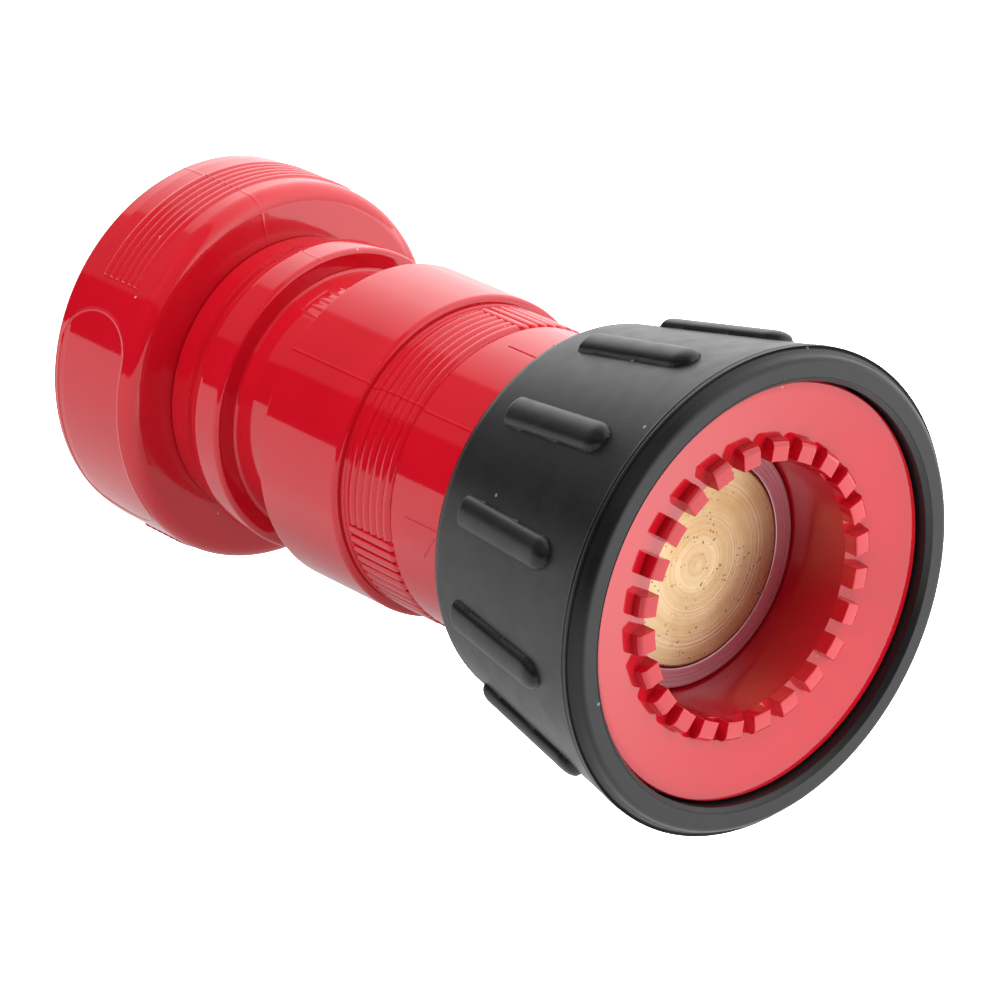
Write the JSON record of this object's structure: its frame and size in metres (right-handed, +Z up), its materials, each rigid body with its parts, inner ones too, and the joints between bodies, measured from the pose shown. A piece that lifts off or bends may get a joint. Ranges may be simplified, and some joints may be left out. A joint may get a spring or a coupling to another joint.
{
  "type": "fire hose nozzle",
  "caption": "Hand-held shut-off fog nozzle: swivel hose coupling, screw barrel with grip band, fog teeth, rubber bumper and brass baffle disc.",
  "frame": {"origin": "middle of the bounding box in plan, on the surface that the rubber lip touches when the nozzle lies on its side", "axes": "the flow axis lies along Y with the hose end at +Y and the outlet at -Y; +Z is up"},
  "size_m": [0.079, 0.1404, 0.0789],
  "materials": {
    "red_polycarbonate": "glossy moulded polycarbonate, slightly translucent",
    "bumper_rubber": "satin moulded black rubber",
    "seal_rubber": "smooth black nitrile rubber",
    "turned_brass": "lathe turned, concentric tool marks",
    "spring_steel": "bright drawn spring wire",
    "seat_plastic": "smooth pale acetal"
  },
  "bodies": {
    "coupling": {"swivel_coupling": "red_polycarbonate", "hose_gasket": "seal_rubber"},
    "body": {"nozzle_body": "red_polycarbonate", "coupling_snap_ring": "spring_steel", "baffle_stem": "turned_brass", "stem_washer": "turned_brass", "stem_nut": "turned_brass", "shutoff_o_ring": "seal_rubber"},
    "barrel_seal": {"barrel_o_ring": "seal_rubber"},
    "barrel": {"barrel": "red_polycarbonate", "seat_ring": "seat_plastic", "rubber_bumper": "bumper_rubber"}
  },
  "joints": [
    {"name": "coupling_swivel", "type": "hinge", "parent": "coupling", "child": "body", "pos_m": [0, 0, 0.03947], "axis": [0, 1, 0], "continuous": true},
    {"name": "barrel_slide", "type": "slide", "parent": "body", "child": "barrel_seal", "axis": [0, 1, 0], "range_m": [0, 0.012]},
    {"name": "barrel_turn", "type": "hinge", "parent": "barrel_seal", "child": "barrel", "pos_m": [0, 0, 0.03947], "axis": [0, 1, 0], "range_deg": [0, 300]}
  ],
  "couplings": [
    {"joint": "barrel_slide", "follows": "barrel_turn", "m_per_rad": 0.0022918}
  ]
}
